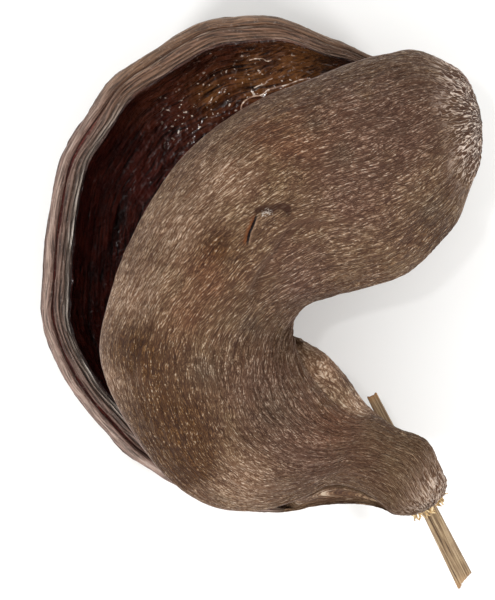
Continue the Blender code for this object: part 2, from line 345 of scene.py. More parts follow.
zone = np.repeat(
    ("crown", "upper lip", "ceiling", "bed", "lower lip", "belly"),
    (
        CROWN_POINTS, UPPER_RIM_POINTS, UPPER_HOLLOW_POINTS,
        LOWER_HOLLOW_POINTS, LOWER_RIM_POINTS, BELLY_POINTS,
    ),
)
lower_lip_width = lengths_along(LOWER_RIM)[-1]
upper_lip_width = lengths_along(UPPER_RIM)[-1]
round_wall = np.concatenate((
    np.linspace(0.0, CROWN_GIRTH, CROWN_POINTS),
    np.linspace(0.0, upper_lip_width, UPPER_RIM_POINTS),
    np.linspace(HOLLOW_GIRTH, 0.0, UPPER_HOLLOW_POINTS),
    np.linspace(0.0, HOLLOW_GIRTH, LOWER_HOLLOW_POINTS),
    np.linspace(lower_lip_width, 0.0, LOWER_RIM_POINTS),
    np.linspace(BELLY_GIRTH, 0.0, BELLY_POINTS),
))
steps = np.linalg.norm(np.diff(wall, axis=0), axis=2)
along_wall = np.concatenate((np.zeros((1, len(zone))), np.cumsum(steps, axis=0)))
along_wall = along_wall - along_wall[len(along_wall) // 2]
round_wall = np.broadcast_to(round_wall, along_wall.shape)
print("longest fibre:", round(float(np.ptp(along_wall[:, LAST_SKIN]))), "mm")

# %% [markdown]
# Random hills come from a small function: every corner of a square grid gets a random slope, and the slopes
# are blended between the corners. Folded over at zero, the hills turn into sharp-edged ridges, which is what
# dry fibres look like.

# %% Random hills and ridges
HILL_HEIGHT = 1.5
RIDGE_SHARPNESS = 0.8
# Large odd numbers that mix the corner and the seed into something that looks random.
MIXERS = (73856093, 19349663, 83492791, 1274126177)


def blend(share):
    """Goes from 0 to 1 with no kink at either end."""
    return share**3 * (share * (share * 6 - 15) + 10)


def hills(x, y, seed):
    """Smooth random hills, one or so for each unit of x and y, between about -1 and 1."""
    left = np.floor(x).astype(np.int64)
    low = np.floor(y).astype(np.int64)
    total = np.zeros(np.shape(x))
    for right_step in (0, 1):
        for up_step in (0, 1):
            mixed = (left + right_step) * MIXERS[0] ^ (low + up_step) * MIXERS[1] ^ seed * MIXERS[2]
            mixed = ((mixed ^ (mixed >> 13)) * MIXERS[3]) & 0x7FFFFFFF
            slope = ((mixed ^ (mixed >> 15)) & 0xFFFF) / 0xFFFF * 2 * math.pi
            across = x - left - right_step
            up = y - low - up_step
            weight = blend(1 - np.abs(across)) * blend(1 - np.abs(up))
            total += weight * (np.cos(slope) * across + np.sin(slope) * up)
    return total * HILL_HEIGHT


def ridges(x, y, seed):
    """Hills folded into sharp crests, between about -1 and 1."""
    return 1 - 2 * np.abs(hills(x, y, seed)) ** RIDGE_SHARPNESS


def ease(value, start, end):
    """Rises smoothly from 0 at start to 1 at end."""
    share = np.clip((value - start) / (end - start), 0.0, 1.0)
    return share * share * (3 - 2 * share)


def distance_to(line, x, y):
    """How far each plan point is from a line of plan points, and on which side of it."""
    best = np.full(np.shape(x), 1e9)
    side = np.zeros(np.shape(x))
    for (ax, ay), (bx, by) in zip(line, line[1:]):
        run_x = bx - ax
        run_y = by - ay
        share = np.clip(((x - ax) * run_x + (y - ay) * run_y) / (run_x**2 + run_y**2), 0.0, 1.0)
        gap = np.hypot(x - ax - share * run_x, y - ay - share * run_y)
        side = np.where(gap < best, np.sign(run_x * (y - ay) - run_y * (x - ax)), side)
        best = np.minimum(best, gap)
    return best, side


# %% [markdown]
# On the bark the fibres start at the stalk, fan out over the belly of the C and run on to the tip, so on the
# outer part they drift towards the hinge side. Both ends are crinkled like a dried date.

# %% Where each bit of bark lies in the grain
# Sizes and places are in millimetres, and openings are shares of the full one.
FIBRE_DRIFT = 20.0
DRIFT_STRETCH = (18.0, 74.0)
BELLY_SHIFT = 40.0
SHUT_STRIP = 0.1
SHUT_LIMIT = 0.12
SHUT_FADE = (0.1, 0.45)

x, y, z = np.moveaxis(wall, 2, 0)
is_crown = (zone == "crown")[None, :]
is_belly = (zone == "belly")[None, :]
is_skin = is_crown | is_belly
place = np.broadcast_to(ring_places[:, None], x.shape)
drift = FIBRE_DRIFT * ease(place, *DRIFT_STRETCH) * is_crown
sway = 0.7 * hills(along_wall / 10, round_wall / 7, 1) + 0.2 * hills(along_wall / 4, round_wall / 3, 2)
# Where the pod is shut, the hollow is only a narrow strip of skin between the valves' edges.
opening = np.clip(np.interp(ring_places, places, cuts[:, OPENING_COLUMN]), 0.0, 1.0)[:, None]
shut = 1 - ease(opening, *SHUT_FADE)
strip_share = np.where(is_skin, 1.0, np.clip(opening, SHUT_STRIP, 1.0))
across_fibres = round_wall * strip_share + drift + sway + BELLY_SHIFT * is_belly
print("open cuts:", int((opening >= SHUT_LIMIT).sum()), "of", len(opening))

# %% [markdown]
# The bark's relief is a sum of wrinkles of several sizes, each with a width across the fibres, a length along
# them and a height. Long ones gather at the waist and the neck, where the skin is drawn together.

# %% Relief of the bark
WRINKLE_WIDTH = 1.15
WRINKLE_LENGTH = 3.6
WRINKLE_HEIGHT = 0.13
FURROW_WIDTH = 1.9
FURROW_LENGTH = 10.0
FURROW_HEIGHT = 0.2
FOLD_WIDTH = 3.4
FOLD_LENGTH = 15.0
FOLD_HEIGHT = 0.14
LONG_WIDTH = 1.5
LONG_LENGTH = 17.0
LONG_HEIGHT = 0.26
DENT_SIZE = 13.0
DENT_HEIGHT = 0.22
CRINKLE_SIZE = 1.4
CRINKLE_HEIGHT = 0.3
# The crinkled ends begin and are whole at these places, along x or y or, at the stalk, on a slant.
TIP_CRINKLE_X = (30.0, 38.0)
TIP_CRINKLE_Y = (14.0, 24.0)
STALK_CRINKLE = (42.0, 52.0)
STALK_CRINKLE_SLANT = 0.55
STALK_SIDE = -15.0
# The long wrinkles gather round this place on the pod, and fade out towards the crown's outer edge.
GATHER_PLACE = 36.0
GATHER_REACH = 22.0
GATHER_FADE = (36.0, 56.0)
TIGHT_EDGE = 1.6

wrinkle = ridges(across_fibres / WRINKLE_WIDTH, along_wall / WRINKLE_LENGTH, 3)
furrow = -ridges(across_fibres / FURROW_WIDTH, along_wall / FURROW_LENGTH, 4)
fold = hills(across_fibres / FOLD_WIDTH, along_wall / FOLD_LENGTH, 5)
gathered = np.exp(-(((place - GATHER_PLACE) / GATHER_REACH) ** 2))
gathered = gathered * (1 - 0.7 * ease(round_wall, *GATHER_FADE))
long_wrinkle = ridges(across_fibres / LONG_WIDTH, along_wall / LONG_LENGTH, 19)
dent = hills(x / DENT_SIZE + z / DENT_SIZE, y / DENT_SIZE, 6)

tip_edge = x + 0.2 * (y - 30) + 1.5 * hills(y / 3, z / 3, 17)
tip_crinkle = ease(tip_edge, *TIP_CRINKLE_X) * ease(y, *TIP_CRINKLE_Y)
stalk_crinkle = ease(x - STALK_CRINKLE_SLANT * y, *STALK_CRINKLE) * (y < STALK_SIDE)
crinkled = np.clip(tip_crinkle + stalk_crinkle, 0.0, 1.0)
warp = 0.9 * hills(y / 2.4, z / 2.4, 7) + 0.9 * hills(x / 2.1, (y + z) / 2.1, 10)
crinkle = ridges((x + 0.4 * y) / CRINKLE_SIZE + warp, (y - 0.4 * x + z) / (1.7 * CRINKLE_SIZE) - warp, 8)
crinkle = crinkle + 0.4 * hills((y - z) / 0.9, (x + z) / 0.9, 9)

# The skin is drawn tight over the last millimetre or two before the rim.
calm = 1 - 0.8 * np.exp(-np.maximum(CROWN_GIRTH - round_wall, 0.0) / TIGHT_EDGE) * is_crown
bark_height = (
    WRINKLE_HEIGHT * wrinkle * calm * (1 - 0.6 * crinkled)
    + FURROW_HEIGHT * np.minimum(furrow, 0.0) * calm
    + LONG_HEIGHT * long_wrinkle * gathered
    + FOLD_HEIGHT * fold
    + DENT_HEIGHT * dent
    + CRINKLE_HEIGHT * crinkle * crinkled
)
# How far each point stands out of its surroundings, for the colours.
bark_crests = (0.6 * wrinkle + 0.3 * furrow) * (1 - 0.6 * gathered) + 0.3 * fold
bark_crests = bark_crests + 1.3 * long_wrinkle * gathered
bark_crests = bark_crests * (1 - crinkled) + crinkle * crinkled
print("bark relief:", round(float(bark_height.min()), 2), "to", round(float(bark_height.max()), 2), "mm")

# %% [markdown]
# One place on the crown is hurt: a slit with a lifted flap to its right, a torn line over the flap, and a
# shallow fold beside them. They are drawn as plan lines, and the skin sinks or lifts by its distance to them.
# The distances are kept on the points too, so that the bark's colours can follow a line closely.

# %% The crack and the fold on the crown
# The slit's line runs on past both of its ends, so that its two sides stay apart there too.
SLIT = ((0.9, 19.0), (-0.76, 15.1), (-1.3, 13.6), (-1.9, 12.3), (-2.2, 11.3), (-2.4, 9.9), (-2.9, 6.0))
SLIT_BOTTOM = (9.6, 10.6)
SLIT_TOP = (14.5, 15.3)
SLIT_DEPTH = 0.55
SLIT_HALF_WIDTH = 0.24
FLAP_LIFT = 0.55
FLAP_REACH = 2.6
FLAP_BOTTOM = (8.6, 11.6)
FLAP_TOP = (15.4, 16.0)
TORN_LINE = ((-0.7, 16.0), (0.6, 16.3), (1.9, 16.4), (3.2, 16.7), (4.5, 16.4), (4.7, 15.6))
TORN_DEPTH = 0.4
TORN_HALF_WIDTH = 0.4
PALE_SPOT = ((0.3, 15.3), (0.9, 15.75), (1.5, 15.6))
FOLD_LINE = (
    (-1.2, 1.6), (0.2, 5.1), (1.2, 6.2), (2.6, 8.1), (3.5, 10.0), (4.6, 11.6), (6.0, 12.9), (7.6, 13.3),
    (10.7, 13.7),
)
FOLD_DEPTH = 1.1
FOLD_HALF_WIDTH = 1.1
BANK_LIFT = 0.45
BANK_HALF_WIDTH = 2.42

slit_gap, slit_side = distance_to(SLIT, x, y)
torn_gap = distance_to(TORN_LINE, x, y)[0]
spot_gap = distance_to(PALE_SPOT, x, y)[0]
fold_gap, fold_side = distance_to(FOLD_LINE, x, y)
slit_open = ease(y, *SLIT_BOTTOM) * (1 - ease(y, *SLIT_TOP)) * is_crown
slit_cut = np.exp(-((slit_gap / SLIT_HALF_WIDTH) ** 2)) * slit_open
flap_length = ease(y, *FLAP_BOTTOM) * (1 - ease(y, *FLAP_TOP))
flap = np.exp(-((slit_gap / FLAP_REACH) ** 2)) * (slit_side > 0) * flap_length
torn_cut = np.exp(-((torn_gap / TORN_HALF_WIDTH) ** 2))
fold_cut = np.exp(-((fold_gap / FOLD_HALF_WIDTH) ** 2))
fold_bank = np.exp(-((fold_gap / BANK_HALF_WIDTH) ** 2)) * (fold_side > 0)
wound = -SLIT_DEPTH * slit_cut + FLAP_LIFT * flap - TORN_DEPTH * torn_cut
fold_shape = FOLD_DEPTH * (BANK_LIFT * fold_bank - fold_cut)
bark_height = bark_height + (wound + fold_shape) * is_crown

# %% [markdown]
# The rims and the lining have a relief of their own: fine lines that run round the mouth on the lip, and
# long glossy ribs with small blisters in the hollow.

# %% Relief of the rims and the lining
LIP_LINE_WIDTH = 0.34
LIP_LINE_LENGTH = 12.0
LIP_LINE_HEIGHT = 0.1
LIP_RIDGE_WIDTH = 0.78
LIP_RIDGE_HEIGHT = 0.13
LIP_WAVE_LENGTH = 3.4
LIP_WAVE_HEIGHT = 0.14
# The ridges start past the groove, this far in from the rim's outer edge.
LIP_RIDGE_START = (3.2, 3.8)
RIB_WIDTH = 1.9
RIB_LENGTH = 20.0
RIB_HEIGHT = 0.26
FINE_RIB_WIDTH = 0.8
FINE_RIB_LENGTH = 9.0
FINE_RIB_SHARE = 0.45
BLISTER_SIZE = 1.2
BLISTER_HEIGHT = 0.16

is_lip = np.isin(zone, ("upper lip", "lower lip"))[None, :]
is_lining = np.isin(zone, ("ceiling", "bed"))[None, :]
lip_lines = hills(round_wall / LIP_LINE_WIDTH, along_wall / LIP_LINE_LENGTH, 11)
lip_waves = hills(along_wall / LIP_WAVE_LENGTH, round_wall / 5, 12)
ridge_sway = round_wall + 0.5 * hills(along_wall / 7, round_wall / 3, 18)
lip_ridges = np.cos(2 * math.pi * ridge_sway / LIP_RIDGE_WIDTH) * ease(round_wall, *LIP_RIDGE_START)
lip_height = LIP_LINE_HEIGHT * lip_lines + LIP_WAVE_HEIGHT * lip_waves + LIP_RIDGE_HEIGHT * lip_ridges
rib_sway = round_wall + 1.4 * hills(along_wall / 16, round_wall / 11, 13)
rib = ridges(rib_sway / RIB_WIDTH, along_wall / RIB_LENGTH, 14)
rib = rib + FINE_RIB_SHARE * ridges(rib_sway / FINE_RIB_WIDTH, along_wall / FINE_RIB_LENGTH, 15)
blister = hills(along_wall / BLISTER_SIZE, round_wall / BLISTER_SIZE, 16)
lining_height = RIB_HEIGHT * rib + BLISTER_HEIGHT * blister

is_bark = is_skin | (opening < SHUT_LIMIT)
height = np.where(is_bark, bark_height, np.where(is_lip, lip_height * opening, lining_height * opening**2))
crests = np.where(is_bark, bark_crests, np.where(is_lip, 0.5 * lip_lines + 0.8 * lip_ridges, rib))

# %% [markdown]
# The relief is put on by moving every point along its own normal. The pod must go on touching the surface
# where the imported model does, so the relief fades out down there.

# %% Move every point out along its normal
CALM_HEIGHT = 2.5


def grid_normals(grid):
    """The outward direction at every point of a loft whose cuts are closed loops."""
    along = np.gradient(grid, axis=0)
    around = np.roll(grid, -1, axis=1) - np.roll(grid, 1, axis=1)
    normals = np.cross(around, along)
    return normals / np.maximum(np.linalg.norm(normals, axis=2, keepdims=True), 1e-9)


normals = grid_normals(wall)
middle = len(wall) // 2
top_point = int(np.argmax(wall[middle, :, 2]))
normals = normals * np.sign(normals[middle, top_point, 2])
height = height * ease(z, 0.0, CALM_HEIGHT)
carved = wall + normals * height[:, :, None]
carved[:, :, 2] = np.maximum(carved[:, :, 2], 0.0)
print("highest point:", round(float(carved[:, :, 2].max()), 1), "mm")

# %% [markdown]
# Some colours of the pod don't follow a rule: an olive patch near the mouth, grey film on the flanks, amber
# varnish deep in the hollow, pale patches that are partly painted sheen on the lit flanks, and painted glints
# at the back of the hollow. Each is a soft ragged patch at its place, kept as a value on every point.

# %% Colour patches as values on the points
# Each patch: plan place and size.
PATCHES = {
    "olive": (
        (-17.0, -20.0, 9.0), (-13.0, -28.0, 7.0), (-22.0, -8.0, 6.0), (31.0, 12.0, 5.0), (-8.0, 9.0, 5.0),
    ),
    "purple": (
        (26.0, 31.0, 10.0), (14.0, 31.0, 8.0), (1.0, -14.0, 8.0), (8.0, -25.0, 9.0), (16.0, 17.0, 7.0),
        (7.0, 4.0, 6.0),
    ),
    "red": ((9.0, 30.0, 5.0), (-9.0, 4.0, 4.5), (-13.0, -3.0, 3.5), (14.0, -21.0, 6.0), (1.0, 29.0, 5.0)),
    "grey": (
        (2.0, -19.0, 4.5), (9.5, 31.0, 2.6), (14.0, 26.0, 2.4), (-10.0, -12.0, 3.0), (-2.0, -4.0, 2.2),
        (30.0, 16.0, 3.0),
    ),
    # Partly paler bark, partly painted sheen where the flanks catch the light.
    "pale_bark_and_sheen": (
        (-26.0, -14.0, 6.0), (-23.0, 0.0, 6.0), (-14.0, 13.0, 6.0), (-6.0, 22.0, 5.0), (-14.0, -31.0, 6.0),
        (-3.0, -31.5, 5.0), (10.5, -11.0, 4.2), (17.0, -18.5, 3.0), (31.0, -33.0, 5.0),
    ),
    # Where the painted glints lie, at the back of the hollow.
    "painted_glints": ((-2.0, 38.0, 5.0), (-9.0, 37.0, 5.0), (-13.0, 33.0, 4.0), (3.0, 40.5, 4.0)),
    "amber": ((5.0, 41.0, 5.0), (-2.0, 40.0, 3.6), (10.0, 42.0, 4.0), (-9.0, 37.0, 3.0)),
}
# Pale patches, partly painted sheen, lie on all of the bark, the painted glints and amber in the hollow, and the
# others on the crown.
PATCH_ZONES = {"pale_bark_and_sheen": is_skin, "painted_glints": is_lining, "amber": is_lining}
EDGE_WIDTH = 1.1
FAR_AWAY = 99.0
# The back side begins and is whole at these distances along a slant to the back right. The hollow there is
# painted lit, and the rim there is painted in shade.
TOP_SIDE = (8.0, 30.0)
TOP_SIDE_SLANT = 0.6


lip_share = round_wall / np.where(zone == "upper lip", 2 * upper_lip_width, lower_lip_width)
values = {
    "crests": crests,
    "crinkled": crinkled,
    "slit_gap": np.where(is_crown, slit_gap * slit_side, FAR_AWAY),
    "slit_open": slit_open,
    "torn_gap": np.where(is_crown, torn_gap, FAR_AWAY),
    "spot_gap": np.where(is_crown, spot_gap, FAR_AWAY),
    "fold_gap": np.where(is_crown, fold_gap, FAR_AWAY),
    # A pale pinkish band along the crown's edge, partly paler bark and partly a painted highlight.
    "edge_tint_and_highlight": np.exp(-np.maximum(CROWN_GIRTH - round_wall, 0.0) / EDGE_WIDTH) * is_crown,
    "lip_share": np.where(is_lip, lip_share + 0.5 * (zone == "upper lip"), 0.0),
    "top_side": ease(y + TOP_SIDE_SLANT * x, *TOP_SIDE),
    "shut": shut + np.zeros(x.shape),
}
ragged = 1 + 0.5 * hills(x / 4, y / 4, 21) + 0.4 * hills(x / 1.6, y / 1.6, 22)
for name, places_and_sizes in PATCHES.items():
    total = np.zeros(x.shape)
    for px, py, size in places_and_sizes:
        total += np.exp(-(((x - px) ** 2 + (y - py) ** 2) / (size * size * ragged)))
    values[name] = np.clip(total, 0.0, 1.0) * PATCH_ZONES.get(name, is_crown)
print("values on each point:", len(values))

# %% [markdown]
# Every piece is finished alike: its faces are turned outward, it is shaded smooth except over sharp edges,
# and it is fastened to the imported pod. Its lengths along and across the fibres go with it as a UV map, and its
# other values as attributes, because a material can read both.

# %% Finish a piece and keep values on its points
SHARP_ANGLE = math.radians(62)


def own_piece(piece, node=None):
    """Turns a piece's faces outward, shades it smooth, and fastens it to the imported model."""
    bpy.ops.object.select_all(action="DESELECT")
    piece.select_set(True)
    bpy.context.view_layer.objects.active = piece
    bpy.ops.object.mode_set(mode="EDIT")
    bpy.ops.mesh.select_all(action="SELECT")
    bpy.ops.mesh.normals_make_consistent(inside=False)
    bpy.ops.object.mode_set(mode="OBJECT")
    bpy.ops.object.shade_smooth_by_angle(angle=SHARP_ANGLE)
    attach(piece, "root")
    if node:
        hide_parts(node)
    piece.data.calc_loop_triangles()
    print(piece.name, len(piece.data.vertices), "points,", len(piece.data.loop_triangles), "triangles")


def set_fibre_map(piece, grain):
    """Stores lengths along and across the fibres, in millimetres, one pair for each point, as a UV map."""
    corners = np.zeros(len(piece.data.loops), dtype=np.int32)
    piece.data.loops.foreach_get("vertex_index", corners)
    fibre_map = piece.data.uv_layers.new(name="fibres")
    fibre_map.data.foreach_set("uv", grain[corners].astype(np.float32).ravel())


def set_value(piece, name, value):
    """Stores one number for each point under a name that a material can read."""
    layer = piece.data.attributes.new(name, "FLOAT", "POINT")
    layer.data.foreach_set("value", value.astype(np.float32))


# %% [markdown]
# The loft is cut in its two natural halves, the valves, which meet at the crease and through the wall there.
# That keeps each piece light enough to be stored whole. Each half is closed: its two edges are joined through
# the wall, and each end by a small fan.

# %% From a loft to closed pieces
# Which of the three materials each zone has: bark, rim wood or lining.
ZONE_MATERIALS = {"crown": 0, "belly": 0, "upper lip": 1, "lower lip": 1, "ceiling": 2, "bed": 2}


def valve(name, columns, materials):
    """Cuts one valve out of the loft by its columns and closes it."""
    part = carved[:, columns]
    count = len(columns)
    column_kinds = [ZONE_MATERIALS[zone[column]] for column in columns]
    points = np.concatenate((part.reshape(-1, 3), [part[0].mean(axis=0), part[-1].mean(axis=0)]))
    faces = []
    kinds = []
    for start in range(0, count * (len(part) - 1), count):
        for column in range(count):
            after = (column + 1) % count
            faces.append((start + column, start + after, start + count + after, start + count + column))
            kinds.append(column_kinds[column] if opening[start // count, 0] >= SHUT_LIMIT else 0)
    for start, tip in ((0, len(points) - 2), (count * (len(part) - 1), len(points) - 1)):
        for column in range(count):
            faces.append((start + column, start + (column + 1) % count, tip))
            kinds.append(0)
    mesh = bpy.data.meshes.new(name)
    mesh.from_pydata((points * MILLIMETRE).tolist(), [], faces)
    piece = bpy.data.objects.new(name, mesh)
    bpy.context.scene.collection.objects.link(piece)
    for material in materials:
        mesh.materials.append(material)
    mesh.polygons.foreach_set("material_index", kinds)
    for key, value in values.items():
        chosen = value[:, columns]
        set_value(piece, key, np.concatenate((chosen.ravel(), (chosen[0].mean(), chosen[-1].mean()))))
    grain = np.stack((along_wall[:, columns], across_fibres[:, columns]), axis=2).reshape(-1, 2)
    set_fibre_map(piece, np.concatenate((grain, grain[:1], grain[-1:])))
    own_piece(piece, "pod")
    return piece

# %% [markdown]
# The bark is dead, fibrous plant skin. It was never polished, so it is nearly matt, with a faint satin on
# the crests, where the threads are drawn tight. The crests get a painted highlight and the valleys between
# them painted shade, and the brown wanders between olive, purple and rust. The finest threads are narrower
# than the mesh can hold, so they are a bump, stretched along the fibre map that runs in millimetres.

# %% Material: dry fibrous bark
# How many lines, beads, furrows and worms there are to a millimetre, along and across the fibres.
LINES_PER_MM = (0.42, 1.8, 0.0)
BEADS_PER_MM = (2.1, 3.4, 0.0)
FURROWS_PER_MM = (0.14, 0.8, 0.0)
WORMS_PER_MM = (0.42, 0.85, 0.0)
# Sizes in millimetres.
WAVER_SIZE = 3.6
WAVER_REACH = (1.5, 0.45, 0.0)
GROUND_CLOUD_SIZE = 7.0
BLOT_SIZE = 1.8
THREAD_BUMP = 0.2


def thin_lines(tree, fibres, per_mm, reach, low, high, **noise):
    """Lines where noise on the fibre map crosses its middle: low on a line, high past its reach."""
    place = add(tree, "ShaderNodeVectorMath", {0: fibres, 1: per_mm}, operation="MULTIPLY")
    value = add(tree, "ShaderNodeTexNoise", {"Vector": place, "Scale": 1.0, **noise})
    value = add(tree, "ShaderNodeMath", {0: value, 1: 0.5}, operation="SUBTRACT")
    value = add(tree, "ShaderNodeMath", {0: value}, operation="ABSOLUTE")
    return add(tree, "ShaderNodeMapRange", {0: value, 1: 0.0, 2: reach, 3: low, 4: high})


bark, tree, spot = new_material("Dry fibrous bark")
crests_value, ends, edge_tint_and_highlight_share = point_values(tree, "crests", "crinkled", "edge_tint_and_highlight")
straight = add(tree, "ShaderNodeUVMap", uv_map="fibres")
waver_noise = {"Vector": spot, "Scale": 1 / (WAVER_SIZE * MILLIMETRE), "Detail": 1.0}
waver = add(tree, "ShaderNodeTexNoise", waver_noise, out="Color")
fibres = add(tree, "ShaderNodeVectorMath", {0: waver, 1: WAVER_REACH, 2: straight}, operation="MULTIPLY_ADD")

# Thin dark lines half a millimetre apart and two or three long, with small beads on the ridges between them,
# and longer furrows, over a millimetre apart, that part the rows of beads.
lines = thin_lines(tree, fibres, LINES_PER_MM, 0.1, 0.0, 1.0, Detail=3.0, Roughness=0.62)
furrows = thin_lines(tree, fibres, FURROWS_PER_MM, 0.035, 0.1, 1.0, Detail=2.0)
bead_place = add(tree, "ShaderNodeVectorMath", {0: fibres, 1: BEADS_PER_MM}, operation="MULTIPLY")
beads = add(tree, "ShaderNodeTexNoise", {"Vector": bead_place, "Scale": 1.0, "Detail": 1.0})
beads = add(tree, "ShaderNodeMapRange", {0: beads, 1: 0.36, 2: 0.64, 3: 0.4, 4: 1.0})
height = add(tree, "ShaderNodeMath", {0: lines, 1: beads}, operation="MULTIPLY")
height = add(tree, "ShaderNodeMath", {0: height, 1: furrows}, operation="MULTIPLY")

# Worm-like crests about a millimetre apart, for the two ends.
worms = thin_lines(tree, fibres, WORMS_PER_MM, 0.1, 1.0, 0.0, Detail=1.0, Distortion=0.9)
height = add(tree, "ShaderNodeMix", {0: ends, 2: height, 3: worms})
lift = add(tree, "ShaderNodeMapRange", {0: crests_value, 1: -1.0, 2: 1.0, 3: -0.1, 4: 0.1})
lift = add(tree, "ShaderNodeMath", {0: lift, 1: height}, operation="ADD")

# %% [markdown]
# Now the bark's colours. The ground wanders between two browns, and each patch pulls it towards a colour of
# its own. Over that, valleys get painted shade, slopes stay middling, and only the narrow crests get a painted
# highlight, which is what makes the threads stand out from a step away.

# %% Colours of the bark
cloud_noise = {"Vector": spot, "Scale": 1 / (GROUND_CLOUD_SIZE * MILLIMETRE), "Detail": 3.0}
cloud = add(tree, "ShaderNodeTexNoise", cloud_noise)
wander = add(tree, "ShaderNodeMapRange", {0: cloud, 1: 0.38, 2: 0.62})
ground = add(tree, "ShaderNodeMix", {0: wander, 6: colour("82664e"), 7: colour("937b60")}, **MIX_COLOURS)
# The pale patch colour is partly paler bark and partly painted sheen where the flanks catch the light.
PATCH_COLOURS = (
    ("pale_bark_and_sheen", 0.85, "c8ae98"), ("olive", 0.95, "64400c"), ("purple", 0.8, "846759"), ("red", 0.5, "946444"),
    ("grey", 0.6, "766656"),
)
for name, strength, code in PATCH_COLOURS:
    share = add(tree, "ShaderNodeMath", {0: point_values(tree, name)[0], 1: strength}, operation="MULTIPLY")
    ground = add(tree, "ShaderNodeMix", {0: share, 6: ground, 7: colour(code)}, **MIX_COLOURS)
blot = add(tree, "ShaderNodeTexNoise", {"Vector": spot, "Scale": 1 / (BLOT_SIZE * MILLIMETRE), "Detail": 2.0})
stain = add(tree, "ShaderNodeValToRGB", {0: blot}, ((0.58, "000000"), (0.7, "a0a0a0")))
ground = add(tree, "ShaderNodeMix", {0: stain, 6: ground, 7: colour("5c3c20")}, **MIX_COLOURS)

# Painted shade and highlight: the relief's valleys are darkened, its crests lightened, and the highest crests
# get a pale painted highlight.
depths = ((0.0, "6c503c"), (0.25, "ad9a89"), (0.55, "dcd2c6"), (0.85, "ffffff"))
shade = add(tree, "ShaderNodeValToRGB", {0: lift}, depths)
skin = add(tree, "ShaderNodeMix", {0: 1.0, 6: ground, 7: shade}, blend_type="MULTIPLY", **MIX_COLOURS)
crest_highlight = add(tree, "ShaderNodeValToRGB", {0: lift}, ((0.8, "000000"), (1.0, "b8b8b8")))
# At the crinkled ends the valleys between the worms get painted shade and their crests a painted highlight.
end_valley_shade = add(tree, "ShaderNodeMapRange", {0: worms, 1: 0.0, 2: 0.4, 3: 0.5, 4: 0.0})
end_valley_shade = add(tree, "ShaderNodeMath", {0: end_valley_shade, 1: ends}, operation="MULTIPLY")
end_crest_highlight = add(tree, "ShaderNodeMapRange", {0: worms, 1: 0.4, 2: 0.95, 3: 0.0, 4: 1.0})
end_crest_highlight = add(tree, "ShaderNodeMath", {0: end_crest_highlight, 1: ends}, operation="MULTIPLY")
# The band along the crown's edge: paler bark and a painted highlight.
edge_tint_and_highlight_share = add(tree, "ShaderNodeMath", {0: edge_tint_and_highlight_share, 1: 0.75}, operation="MULTIPLY")
for share, code in ((crest_highlight, "c4b29c"), (end_valley_shade, "432c20"), (end_crest_highlight, "dccabc"), (edge_tint_and_highlight_share, "a58d84")):
    skin = add(tree, "ShaderNodeMix", {0: share, 6: skin, 7: colour(code)}, **MIX_COLOURS)

# %% [markdown]
# The hurt place is coloured by the distances kept on the points. From the slit's left bank to its right one,
# over two millimetres, come orange-brown, the black gap, which is painted shade, and the lit edge of the flap,
# which is a painted highlight. The torn line is brown, and its corner whitish. The fold beside them is darkened
# as painted shade.

# %% Colours of the crack, and the bark's finish
slit, slit_opened, torn, corner, fold_shade = point_values(
    tree, "slit_gap", "slit_open", "torn_gap", "spot_gap", "fold_gap"
)
over_slit = add(tree, "ShaderNodeMapRange", {0: slit, 1: -1.0, 2: 1.0})
# The black middle of this ramp is painted shade in the gap, and the pale stop after it a painted highlight on
# the flap's edge.
slit_colour = add(tree, "ShaderNodeValToRGB", {0: over_slit}, (
    (0.2, "7a4216"), (0.38, "6a3208"), (0.42, "120503"), (0.55, "120503"), (0.6, "a08068"), (0.7, "80644f"),
))
slit_share = add(tree, "ShaderNodeValToRGB", {0: over_slit}, (
    (0.0, "000000"), (0.36, "e8e8e8"), (0.42, "ffffff"), (0.56, "ffffff"), (0.62, "a0a0a0"), (0.8, "000000"),
))
slit_share = add(tree, "ShaderNodeMath", {0: slit_share, 1: slit_opened}, operation="MULTIPLY")
torn = add(tree, "ShaderNodeMath", {0: blot, 1: -0.8, 2: torn}, operation="MULTIPLY_ADD")
torn = add(tree, "ShaderNodeMapRange", {0: torn, 1: -0.1, 2: 0.35, 3: 0.8, 4: 0.0})
corner = add(tree, "ShaderNodeMath", {0: corner, 1: beads}, operation="SUBTRACT")
corner = add(tree, "ShaderNodeMapRange", {0: corner, 1: -0.75, 2: -0.3, 3: 0.85, 4: 0.0})
fold_shade = add(tree, "ShaderNodeMapRange", {0: fold_shade, 1: 0.2, 2: 1.6, 3: 0.6, 4: 0.0})
for share, shade in (
    (slit_share, slit_colour), (torn, colour("34180a")), (corner, colour("cbbfb2")),
    (fold_shade, colour("553a2c")),
):
    skin = add(tree, "ShaderNodeMix", {0: share, 6: skin, 7: shade}, **MIX_COLOURS)

roughness = add(tree, "ShaderNodeMapRange", {0: height, 1: 0.1, 2: 0.9, 3: 0.75, 4: 0.36})
bump = add(tree, "ShaderNodeBump", {"Distance": THREAD_BUMP * MILLIMETRE, "Height": height})
finish(bark, {
    "Base Color": skin, "Roughness": roughness, "Normal": bump, "IOR": 1.46, "Specular IOR Level": 0.3,
})

# %% [markdown]
# The rim is where the woody wall tore along its seam: bark at the outer edge, then a dark red groove, then a
# grey lip with fine lines and a whitish inner edge. One ramp across the rim gives the bands their places, in
# two sets: a lighter one on the left, painted lit, and a darker one at the back, painted in shade. On the
# tip's side the groove is only a thin pale line.

# %% Material: torn rim wood
RIM_LINES_PER_MM = (0.22, 3.4, 0.0)
GRIT_SIZE = 0.5
BAND_DRIFT_SIZE = 4.0
BAND_DRIFT = 0.015
RIM_BUMP = 0.5
